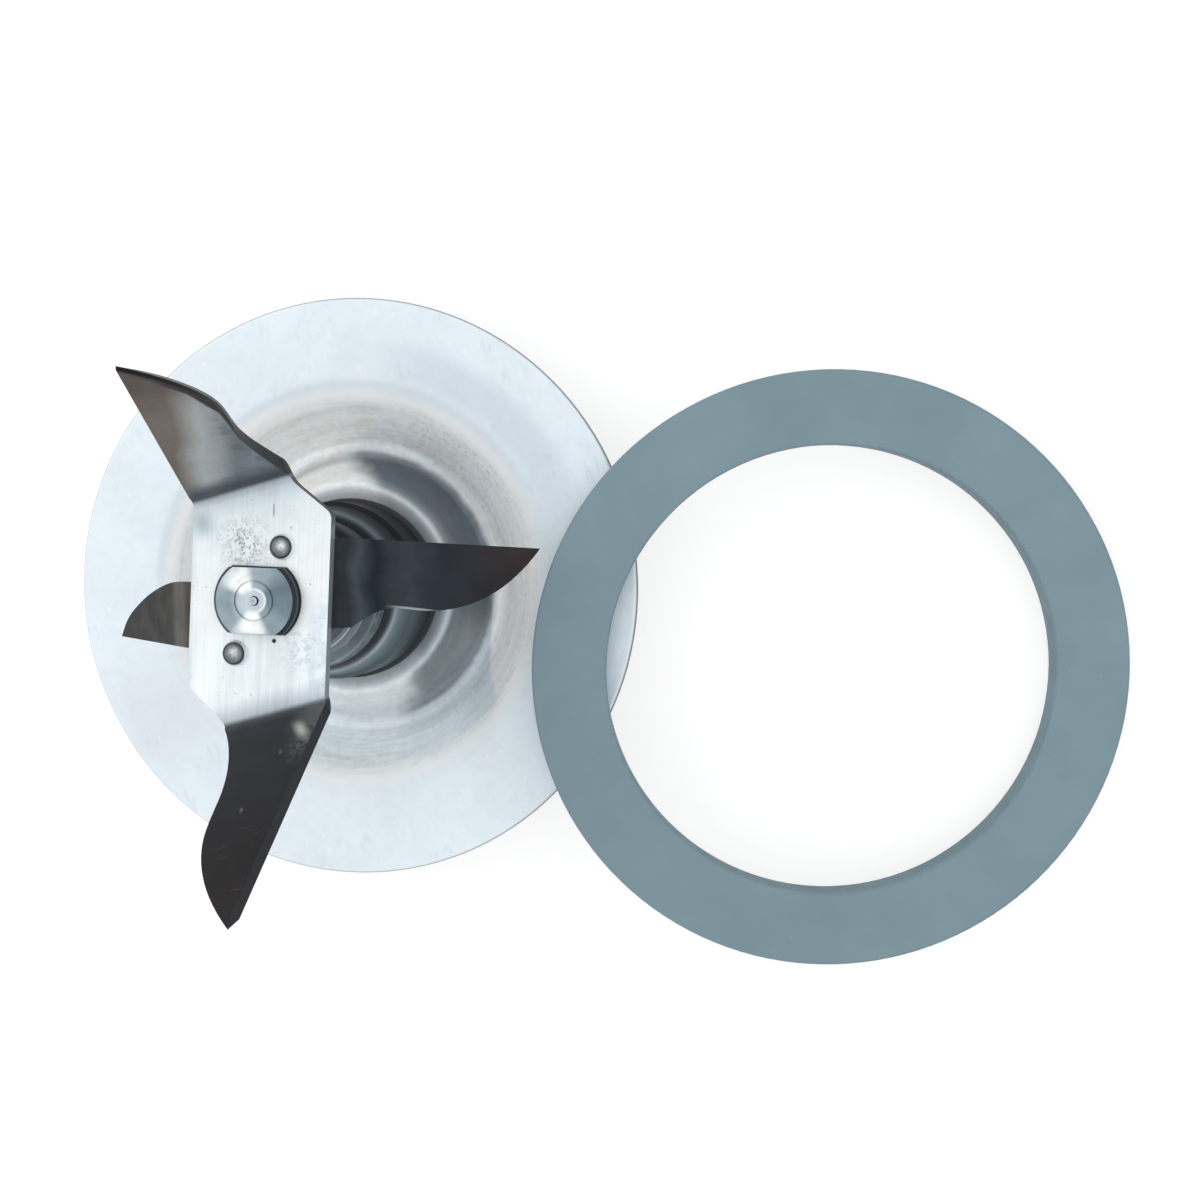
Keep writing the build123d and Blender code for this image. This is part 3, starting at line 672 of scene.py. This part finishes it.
@dataclass(frozen=True)
class HubSteel:
    """The upper blade: a brushed pale hub, and two wings that mirror dark surroundings."""

    hub_top: float = 36.9
    fold: float = 10.4
    steep: tuple[float, float] = (-0.937, 0.349)
    steep_run: float = 1.067
    steep_slant: float = 0.4475
    shallow: tuple[float, float] = (0.786, 0.618)
    shallow_run: float = 1.272
    shallow_slant: float = 0.249
    shallow_root: float = 3.7
    grain: tuple[float, float] = (0.297, 0.955)
    flats: float = 3.02
    bore: float = 3.97
    edge_line: tuple[tuple[float, float], ...] = (
        (0.0, 5.85), (3.4, 5.46), (8.7, 5.3), (13.7, 6.18), (18.0, 5.6), (21.4, 4.2), (24.4, 2.45))
    # Widths of the painted dark shade along the cutting edge, by reach.
    edge_shade_widths: tuple[tuple[float, float], ...] = (
        (0.0, 0.06), (10.0, 0.09), (15.0, 0.36), (20.0, 0.42), (24.4, 0.12))

    def brushing(self, r: Recipe, across: Socket, along: Socket) -> Socket:
        """Colour the hub's brushed steel, with its blue casts and painted shade towards the folds.

        Args:
            r: The finish in the making.
            across: Distance from the shaft across the grain.
            along: Distance from the shaft along the grain.

        Returns:
            The colour.
        """
        turned = r.join(across, along, r.z)
        # Painted shade: darker towards the folds at both ends.
        colour = r.ramp(r.y, (-10.2, tone(180, 192, 200)), (-9.2, tone(214, 225, 232)),
                        (-8.2, tone(240, 250, 254)), (-3.0, tone(242, 251, 255)),
                        (2.0, tone(246, 254, 255)), (8.0, tone(230, 241, 246)),
                        (9.4, tone(210, 221, 228)), (10.2, tone(160, 172, 180)))
        colour = r.shade(colour, r.fade(r.noise(turned, 0.3, 2.0), 0.96, 1.05))
        stripes = r.fade(r.noise(turned, 1.0, 2.0, (0.75, 0.05, 1)), 0.85, 1.09)
        fine = r.fade(r.noise(turned, 1.0, 3.0, (6.0, 0.14, 1)), 0.94, 1.04)
        low = r.rise(along, 0.0, -5.0)
        colour = r.mix(low, colour, r.shade(colour, stripes))
        colour = r.shade(colour, fine)
        blue = r.both(r.rise(across, 4.0, 6.6), r.rise(r.noise(turned, 0.9, 3.0), 0.4, 0.6))
        blue = r.both(blue, r.rise(along, 3.0, -2.0))
        colour = r.mix(r.both(blue, 0.35), colour, tone(176, 202, 222))
        blot = r.both(r.spot(2.6, -5.4, 1.2, 2.0), r.rise(r.noise(turned, 1.6, 3.0), 0.48, 0.6))
        return r.mix(r.both(blot, 0.45), colour, tone(158, 184, 206))

    def hub(self, r: Recipe) -> Socket:
        """Colour the hub: brushing, a pitted patch, a scratch, smudges, and painted shade along its
        left edge and round the bore.

        Args:
            r: The finish in the making.

        Returns:
            The colour.
        """
        gx, gy = self.grain
        along = r.vector("DOT_PRODUCT", r.across, (gx, gy, 0))
        across = r.vector("DOT_PRODUCT", r.across, (gy, -gx, 0))
        turned = r.join(across, along, r.z)
        colour = self.brushing(r, across, along)
        # Painted shade along the hub's left edge.
        left = r.band(across, -7.2, -6.4, 0.35)
        colour = r.mix(r.both(left, 0.4), colour, tone(176, 194, 204))
        pits = r.rise(r.noise(turned, 4.6, 2.0, (1.0, 0.75, 1.0)), 0.54, 0.64)
        haze = r.rise(r.noise(turned, 1.3, 3.0), 0.42, 0.66)
        patch = r.spot(0.0, 5.4, 1.0, 2.6)
        colour = r.mix(r.both(r.both(patch, haze), 0.5), colour, tone(150, 162, 168))
        colour = r.mix(r.both(r.both(patch, pits), 0.7), colour, tone(78, 86, 92))
        dots = r.both(r.rise(r.noise(turned, 2.6, 2.0), 0.68, 0.73), r.rise(patch, 0.6, 0.0))
        colour = r.mix(r.both(dots, 0.45), colour, tone(120, 134, 142))
        colour = r.mix(r.both(r.spot(-3.3, 8.1, 0.4, 1.5), 0.55), colour, tone(128, 152, 168))
        scratch = r.both(r.band(across, 1.18, 1.28, 0.05), r.band(along, 7.7, 8.8, 0.25))
        colour = r.mix(r.both(scratch, 0.85), colour, tone(52, 60, 66))
        colour = r.mix(r.spot(0.4, -3.95, 0.2, 0.07), colour, tone(34, 34, 40))
        # Painted shade: a dark ring round the bore's edge.
        bore_shade = r.math("MAXIMUM", r.math("SUBTRACT", r.radius, self.bore),
                         r.math("SUBTRACT", r.math("ABSOLUTE", along), self.flats))
        return r.mix(r.rise(bore_shade, 0.16, 0.04), colour, tone(58, 66, 72))

    def steep_edge(self, r: Recipe, reach: Socket) -> Socket:
        """Measure how far inside the steep wing's cutting edge a point lies."""
        return r.math("SUBTRACT", r.curve(reach, 10.0, *self.edge_line), r.x)

    def steep_wing(self, r: Recipe) -> Socket:
        """Colour the steep wing in painted reflections, taupe by its trailing edge and grey, with
        painted black shade along its edge.

        Args:
            r: The finish in the making.

        Returns:
            The colour.
        """
        reach = r.math("MULTIPLY", r.math("SUBTRACT", r.z, self.hub_top), self.steep_run)
        lean = r.math("SUBTRACT", r.x, r.math("MULTIPLY", reach, self.steep_slant))
        lean = r.math("ADD", lean, r.sway(0.16, 1.0, 2.0))
        # Painted reflection: taupe, a pale highlight near the middle and greys across the wing.
        colour = r.ramp(lean, (-10.0, tone(96, 85, 79)), (-6.4, tone(116, 105, 98)),
                        (-4.6, tone(118, 108, 101)), (-3.6, tone(150, 148, 145)),
                        (-2.3, tone(180, 185, 187)), (-1.0, tone(164, 171, 174)),
                        (0.8, tone(118, 128, 133)), (2.6, tone(126, 136, 141)),
                        (6.0, tone(100, 111, 117)))
        # Painted reflection: browner towards the tip.
        colour = r.mix(r.rise(reach, 14.0, 23.0), colour, tone(84, 74, 69))
        # Painted shade by the fold.
        low = r.rise(reach, 3.2, 0.8)
        colour = r.mix(r.both(low, 0.9), colour, tone(73, 82, 90))
        blotch = r.both(r.rise(r.noise(r.place, 0.55, 3.0), 0.5, 0.68), r.rise(lean, -3.0, 0.0))
        colour = r.mix(r.both(blotch, 0.45), colour, tone(82, 90, 96))
        colour = r.shade(colour, r.fade(r.noise(r.place, 2.2, 3.0), 0.94, 1.05))
        # Painted shade: a near black band along the cutting edge.
        width = r.curve(reach, 3.0, *self.edge_shade_widths)
        inside = r.math("SUBTRACT", self.steep_edge(r, reach), width)
        return r.mix(r.rise(inside, 0.16, -0.1), colour, tone(50, 45, 50))

    def shallow_wing(self, r: Recipe) -> Socket:
        """Colour the shallow wing: painted near black as a dark reflection, with painted lighter
        reflections and a painted cream glint by its trailing edge.

        Args:
            r: The finish in the making.

        Returns:
            The colour.
        """
        reach = r.math("MULTIPLY", r.math("SUBTRACT", r.z, self.hub_top), self.shallow_run)
        slant = r.math("MULTIPLY", reach, self.shallow_slant)
        inward = r.math("SUBTRACT", r.math("SUBTRACT", self.shallow_root, slant), r.x)
        # Painted dark reflection, lighter by the fold and browner at the tip.
        colour = r.ramp(reach, (0.0, tone(76, 79, 84)), (1.0, tone(46, 49, 55)),
                        (3.0, tone(34, 36, 42)), (9.0, tone(30, 31, 36)),
                        (16.0, tone(25, 24, 27)), (25.0, tone(33, 28, 28)))
        # Painted lighter reflections by the trailing edge, flecked.
        grey = r.both(r.rise(inward, 3.8, 0.4), r.rise(reach, 6.0, 0.4))
        colour = r.mix(r.both(grey, 0.7), colour, tone(104, 108, 110))
        flecks = r.rise(r.noise(r.place, 2.0, 3.0), 0.66, 0.4)
        side = r.both(r.both(r.rise(inward, 2.6, 0.3), r.band(reach, 2.6, 6.0, 2.2)), flecks)
        colour = r.mix(r.both(side, 0.5), colour, tone(128, 130, 126))
        # Painted highlight: the cream glint.
        streak = r.math("ADD", inward, r.math("MULTIPLY", reach, 0.65))
        glint = r.both(r.band(streak, 2.95, 3.7, 0.55), r.band(reach, 2.2, 4.0, 0.9))
        colour = r.mix(r.both(glint, 0.85), colour, tone(208, 209, 198))
        colour = r.mix(r.both(r.spot(-0.1, -13.7, 0.12, 0.14), 0.5), colour, tone(140, 118, 96))
        colour = r.mix(r.both(r.spot(-3.0, -17.5, 0.14, 0.12), 0.5), colour, tone(128, 126, 130))
        turned = r.join(r.x, reach, 0.0)
        lines = r.both(r.rise(r.noise(turned, 1.0, 2.0, (0.3, 3.4, 1)), 0.64, 0.76),
                       r.rise(reach, 11.0, 15.0))
        colour = r.mix(r.both(lines, 0.35), colour, tone(92, 84, 82))
        return r.shade(colour, r.fade(r.noise(r.place, 0.3, 3.0), 0.88, 1.12))

    def make(self) -> bpy.types.Material:
        """Lay out the upper blade's finish.

        Returns:
            The finished material.
        """
        r = Recipe("hub_steel")
        colour = self.hub(r)
        # Each wing's faces take its painted colours; its walls take a dark colour as painted shade.
        wings = ((Side.ABOVE, self.steep, self.steep_wing, tone(14, 11, 14)),
                 (Side.BELOW, self.shallow, self.shallow_wing, tone(38, 39, 43)))
        for side, (ny, nz), colours, edge in wings:
            out = r.math("MULTIPLY", r.y, float(side.value))
            wing = r.rise(out, self.fold - 0.5, self.fold + 0.1)
            facing = r.vector("DOT_PRODUCT", r.normal, (0, ny, nz))
            face = r.mix(r.rise(facing, 0.82, 0.96), edge, colours(r))
            back = r.brushed(tone(126, 130, 134), (5.0, 0.5, 0.5))
            face = r.mix(r.rise(facing, -0.85, -0.95), face, back)
            colour = r.mix(wing, colour, face)
        # Painted shade on the hub's side walls: dark on the far side, paler on the rest.
        flat = r.rise(r.math("ABSOLUTE", r.y), self.fold, self.fold - 0.5)
        shaded_wall = r.both(flat, r.rise(r.math("ABSOLUTE", r.facing_up()), 0.5, 0.2))
        far_shade = r.both(r.rise(r.y, 4.0, 6.2), r.rise(r.x, 2.0, 4.0))
        colour = r.mix(shaded_wall, colour, r.mix(far_shade, tone(138, 152, 160), tone(44, 48, 52)))
        r.bump(r.noise(r.place, 2.0, 3.0, (3.0, 0.3, 0.3)), 0.002)
        return r.surface(colour, r.fade(r.noise(r.place, 0.5, 3.0), 0.36, 0.46), 0.45, 0.25)


@dataclass(frozen=True)
class LowerBladeSteel:
    """The lower blade, painted charcoal as a dark reflection, with teal bands of painted shade by
    the hub, a painted brown reflection at its tips and painted highlights along its leading edge.
    """

    heading: tuple[float, float] = (0.967, -0.254)
    root: float = 7.4
    flare: float = 0.2

    def make(self) -> bpy.types.Material:
        """Lay out the lower blade's finish.

        Returns:
            The finished material.
        """
        r = Recipe("lower_blade_steel")
        out = r.vector("DOT_PRODUCT", r.across, (*self.heading, 0))
        along = r.math("ADD", out, r.sway(0.3, 2.0, 1.6))
        # Painted reflection: charcoal, with teal and dark bands of painted shade by the bend and
        # browner towards the tip.
        right = r.ramp(along, (6.5, tone(46, 49, 53)), (7.8, tone(44, 50, 56)),
                       (8.6, tone(66, 77, 84)), (9.2, tone(48, 58, 66)),
                       (9.8, tone(26, 38, 50)), (10.6, tone(46, 53, 60)),
                       (12.4, tone(56, 62, 70)), (14.4, tone(41, 48, 57)),
                       (17.0, tone(42, 45, 52)), (21.0, tone(46, 42, 44)),
                       (27.0, tone(34, 30, 31)))
        # Painted reflection on the left wing: near black, taupe by the hub.
        left = r.ramp(out, (-22.0, tone(10, 10, 12)), (-12.4, tone(14, 15, 16)),
                      (-10.6, tone(30, 29, 28)), (-9.6, tone(82, 80, 74)),
                      (-7.0, tone(78, 75, 70)))
        lead = r.vector("DOT_PRODUCT", r.across, (self.heading[1], -self.heading[0], 0))
        # Painted brown reflection by the tips.
        warm = r.both(r.rise(out, 15.0, 19.0), r.rise(lead, -0.5, -3.5))
        right = r.mix(r.both(warm, 0.5), right, tone(54, 47, 47))
        colour = r.mix(r.rise(out, -1.0, 1.0), left, right)
        colour = r.shade(colour, r.fade(r.noise(r.place, 0.35, 3.0), 0.86, 1.14))
        # Painted highlight along the leading edge.
        flare = r.math("MULTIPLY", r.math("SUBTRACT", out, self.root), self.flare)
        past = r.math("SUBTRACT", lead, flare)
        leading_edge_highlight = r.both(r.rise(past, -0.01, 0.05), r.band(out, 11.2, 13.9, 0.8))
        colour = r.mix(r.both(leading_edge_highlight, 0.5), colour, tone(214, 221, 225))
        # Painted shade on the walls, with a painted highlight on the leading wall.
        wing = r.rise(r.math("ABSOLUTE", out), self.root, 8.2)
        upright = r.facing_up()
        shaded_wall = r.rise(r.math("ABSOLUTE", upright), 0.5, 0.25)
        bright = r.both(r.band(out, 10.6, 14.0, 0.4), r.rise(lead, 0.0, 0.5))
        edge = r.mix(bright, tone(40, 38, 40), tone(226, 229, 231))
        colour = r.mix(r.both(wing, shaded_wall), colour, edge)
        back = r.brushed(tone(116, 120, 124), (0.5, 5.0, 0.5))
        colour = r.mix(r.rise(upright, -0.2, -0.5), colour, back)
        r.bump(r.noise(r.place, 2.0, 4.0, (0.3, 3.0, 0.3)), 0.004)
        return r.surface(colour, r.fade(r.noise(r.place, 0.5, 3.0), 0.46, 0.56), 0.15, 0.12)


@dataclass(frozen=True)
class RivetSteel:
    """A rivet's dome, painted pale on its crown and darker down to a painted shade round its foot,
    with a painted shadow on one side, a wrinkled crown and a painted soft glint.
    """

    x: float
    y: float

    def make(self) -> bpy.types.Material:
        """Lay out a rivet's finish.

        Returns:
            The finished material.
        """
        r = Recipe("rivet_dome")
        off = r.vector("LENGTH", r.vector("SUBTRACT", r.across, (self.x, self.y, 0)))
        # Painted light and shade: pale crown, dark round the foot, then the plate's pale colour at
        # the very foot.
        colour = r.ramp(off, (0.0, tone(184, 194, 198)), (0.45, tone(148, 158, 163)),
                        (0.75, tone(110, 120, 126)), (0.9, tone(52, 60, 66)),
                        (1.02, tone(40, 48, 54)), (1.08, tone(216, 227, 233)),
                        (1.2, tone(236, 245, 250)))
        shadow = r.both(r.spot(self.x - 0.5, self.y - 0.5, 0.34, 0.4), r.rise(off, 1.04, 0.9))
        colour = r.mix(r.both(shadow, 0.5), colour, tone(70, 78, 84))
        glint = r.spot(self.x + 0.1, self.y + 0.12, 0.2, 0.4)
        colour = r.mix(r.both(glint, 0.8), colour, tone(250, 255, 255))
        crown = r.rise(off, 1.0, 0.8)
        wrinkles = r.both(r.rise(r.noise(r.place, 4.5, 3.0), 0.46, 0.62), crown)
        colour = r.mix(r.both(wrinkles, 0.4), colour, tone(98, 108, 114))
        r.bump(r.noise(r.place, 4.0, 2.0), 0.006)
        return r.surface(colour, 0.46, 0.3)


@dataclass(frozen=True)
class Rubber:
    """Moulded rubber with a matte skin and a few pale specks."""

    name: str
    body: Colour
    speck: Colour
    specks: float = 0.75

    def make(self) -> bpy.types.Material:
        """Lay out a rubber finish.

        Returns:
            The finished material.
        """
        r = Recipe(self.name)
        colour = r.shade(self.body, r.fade(r.noise(r.place, 0.12, 4.0), 0.94, 1.06))
        dust = r.rise(r.noise(r.place, 2.6, 1.0), self.specks, self.specks + 0.06)
        colour = r.mix(r.both(dust, 0.6), colour, self.speck)
        r.bump(r.noise(r.place, 6.0, 3.0), 0.01)
        return r.surface(colour, r.fade(r.noise(r.place, 0.5, 3.0), 0.55, 0.7), 0.0, 0.3)


@dataclass(frozen=True)
class Sintered:
    """Sintered metal: grainy, with fine open pores."""

    name: str
    body: Colour
    pore: Colour

    def make(self) -> bpy.types.Material:
        """Lay out a sintered finish.

        Returns:
            The finished material.
        """
        r = Recipe(self.name)
        grain = r.noise(r.place, 3.2, 4.0)
        colour = r.mix(r.rise(grain, 0.5, 0.68), self.body, self.pore)
        colour = r.shade(colour, r.fade(r.noise(r.place, 0.3, 2.0), 0.9, 1.08))
        r.bump(grain, 0.03)
        return r.surface(colour, 0.42)


@dataclass(frozen=True)
class Moulded:
    """Hard moulded plastic with a faint haze."""

    name: str
    body: Colour

    def make(self) -> bpy.types.Material:
        """Lay out a plastic finish.

        Returns:
            The finished material.
        """
        r = Recipe(self.name)
        colour = r.shade(self.body, r.fade(r.noise(r.place, 0.8, 3.0), 0.92, 1.06))
        r.bump(r.rings(6.0), 0.01)
        return r.surface(colour, r.fade(r.noise(r.place, 1.2, 3.0), 0.4, 0.55), 0.0)


def dress(node: str, material: bpy.types.Material) -> None:
    """Give a node's object its finish and report it.

    Args:
        node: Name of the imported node.
        material: The finish.
    """
    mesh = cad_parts[node].data
    if not mesh.materials:
        mesh.materials.append(material)
    for place in range(len(mesh.materials)):
        mesh.materials[place] = material
    log.info("dressed %s with %s", node, material.name)


@dataclass
class Base:
    """The flange, the tower on it and what clamps and seals them."""

    def dress(self) -> None:
        """Dress every fixed piece apart from the sealing ring."""
        dress("base_flange", PressedSheet().make())
        dress("bearing_housing", TurnedTower().make())
        seal = Rubber("seal_rubber", tone(62, 66, 70), tone(84, 86, 88)).make()
        dress("housing_gasket", seal)
        dress("shaft_seal", seal)
        plain = TurnedSteel("fastener_steel", tone(188, 193, 197), tone(120, 126, 130)).make()
        dress("lock_washer", plain)
        dress("lock_nut", plain)
        bronze = Sintered("bush_bronze", tone(176, 136, 92), tone(96, 70, 46)).make()
        dress("lower_bush", bronze)
        dress("upper_bush", bronze)
        dress("seal_cap", PressedCap().make())


@dataclass
class Rotor:
    """The shaft with the blades at one end and the drive socket at the other."""

    rivets: dict[str, tuple[float, float]] = field(default_factory=lambda: {
        "blade_rivet_a": (3.5, 4.1), "blade_rivet_b": (-3.5, -4.1)})

    def dress(self) -> None:
        """Dress every turning piece."""
        dress("shaft", ShaftSteel().make())
        dress("upper_blade", HubSteel().make())
        dress("lower_blade", LowerBladeSteel().make())
        for node, (x, y) in self.rivets.items():
            dress(node, RivetSteel(x, y).make())
        washer = Moulded("washer_plastic", tone(152, 164, 171)).make()
        dress("upper_thrust_washer", washer)
        dress("lower_thrust_washer", washer)
        dress("steel_washer",
              TurnedSteel("washer_steel", tone(172, 182, 188), tone(110, 120, 126)).make())
        dress("spacer_collar",
              TurnedSteel("spacer_steel", tone(176, 182, 186), tone(78, 86, 92)).make())
        dress("drive_socket",
              Sintered("socket_steel", tone(118, 120, 122), tone(64, 64, 66)).make())


@dataclass
class SealingRing:
    """The flat rubber ring laid over the flange's rim."""

    body: Colour = tone(124, 147, 157)
    speck: Colour = tone(176, 190, 196)

    def dress(self) -> None:
        """Dress the ring."""
        dress("sealing_ring", Rubber("ring_rubber", self.body, self.speck, 0.8).make())


@dataclass
class Studio:
    """The camera, the white floor and the soft light."""

    eye: tuple[float, float, float] = (0.05533, -0.00725, 0.18022)
    right: tuple[float, float, float] = (0.95214, -0.25835, -0.16333)
    up: tuple[float, float, float] = (0.25372, 0.96604, -0.04894)
    lens: float = 49.5
    near_clip: float = 0.01
    floor_half: float = 1.0
    floor_drop: float = 0.00005
    floor_grey: float = 0.45
    glow: float = 0.68
    fill: float = 0.95
    softbox: tuple[float, float, float] = (-0.38, 0.42, 0.5)
    softbox_size: float = 0.5
    softbox_power: float = 0.45

    def camera(self) -> None:
        """Place the camera where the photograph was taken."""
        made = bpy.data.cameras.new("photo_camera")
        made.lens = self.lens
        made.clip_start = self.near_clip
        right, up = Vector(self.right), Vector(self.up)
        turn = Matrix((right, up, right.cross(up))).transposed().to_4x4()
        taken = bpy.data.objects.new("photo_camera", made)
        taken.matrix_world = Matrix.Translation(self.eye) @ turn
        bpy.context.scene.collection.objects.link(taken)
        bpy.context.scene.camera = taken

    def seen(self, nodes: bpy.types.Nodes, links: bpy.types.NodeLinks) -> Socket:
        """Tell camera, glossy and transmission rays from the rays that light the object.

        Args:
            nodes: The nodes of the material or the world.
            links: Its links.

        Returns:
            1 for the rays that show the studio and 0 for those that light the object.
        """
        path = nodes.new("ShaderNodeLightPath")
        total = path.outputs["Is Camera Ray"]
        for ray in ("Is Glossy Ray", "Is Transmission Ray"):
            node = nodes.new("ShaderNodeMath")
            node.operation = "MAXIMUM"
            links.new(total, node.inputs[0])
            links.new(path.outputs[ray], node.inputs[1])
            total = node.outputs[0]
        return total

    def floor(self) -> None:
        """Lay a wide white floor that glows to the camera and keeps the soft shadow."""
        mesh = bpy.data.meshes.new("studio_floor")
        sheet = bmesh.new()
        bmesh.ops.create_grid(sheet, x_segments=1, y_segments=1, size=self.floor_half)
        bmesh.ops.translate(sheet, verts=sheet.verts, vec=(0, 0, -self.floor_drop))
        sheet.to_mesh(mesh)
        sheet.free()
        floor = bpy.data.objects.new("studio_floor", mesh)
        bpy.context.scene.collection.objects.link(floor)
        material = bpy.data.materials.new("studio_floor")
        material.use_nodes = True
        nodes, links = material.node_tree.nodes, material.node_tree.links
        nodes.remove(nodes["Principled BSDF"])
        matte = nodes.new("ShaderNodeBsdfDiffuse")
        matte.inputs["Color"].default_value = (*[self.floor_grey] * 3, 1)
        light = nodes.new("ShaderNodeEmission")
        strength = nodes.new("ShaderNodeMath")
        strength.operation = "MULTIPLY"
        links.new(self.seen(nodes, links), strength.inputs[0])
        strength.inputs[1].default_value = self.glow
        links.new(strength.outputs[0], light.inputs["Strength"])
        add = nodes.new("ShaderNodeAddShader")
        links.new(matte.outputs[0], add.inputs[0])
        links.new(light.outputs[0], add.inputs[1])
        links.new(add.outputs[0], nodes["Material Output"].inputs["Surface"])
        mesh.materials.append(material)

    def world(self) -> None:
        """Fill the room with even white light."""
        world = bpy.data.worlds.new("studio_world")
        bpy.context.scene.world = world
        world.use_nodes = True
        nodes, links = world.node_tree.nodes, world.node_tree.links
        background = nodes["Background"]
        background.inputs["Color"].default_value = (1, 1, 1, 1)
        strength = nodes.new("ShaderNodeMapRange")
        links.new(self.seen(nodes, links), strength.inputs["Value"])
        strength.inputs["To Min"].default_value = self.fill
        strength.inputs["To Max"].default_value = 1.0
        links.new(strength.outputs["Result"], background.inputs["Strength"])

    def lamps(self) -> None:
        """Hang one large soft lamp up and to the left."""
        made = bpy.data.lights.new("softbox", "AREA")
        made.shape = "DISK"
        made.size = self.softbox_size
        made.energy = self.softbox_power
        lamp = bpy.data.objects.new("softbox", made)
        lamp.location = self.softbox
        lamp.rotation_euler = Vector(self.softbox).to_track_quat("Z", "Y").to_euler()
        lamp.visible_camera = False
        bpy.context.scene.collection.objects.link(lamp)

    def build(self) -> None:
        """Set up the whole studio."""
        self.camera()
        self.floor()
        self.world()
        self.lamps()
        scene = bpy.context.scene
        scene.view_settings.view_transform = "Standard"
        log.info("studio is set")


def plain(box: tuple) -> list[list[float]]:
    """Turn the two corners of a box into plain lists."""
    return [[float(value) for value in corner] for corner in box]


def main() -> None:
    """Build the scene in order."""
    logging.basicConfig(level=logging.INFO, format="%(message)s")
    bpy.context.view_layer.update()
    Studio().build()
    Base().dress()
    Rotor().dress()
    SealingRing().dress()


if __name__ == "__main__":
    main()
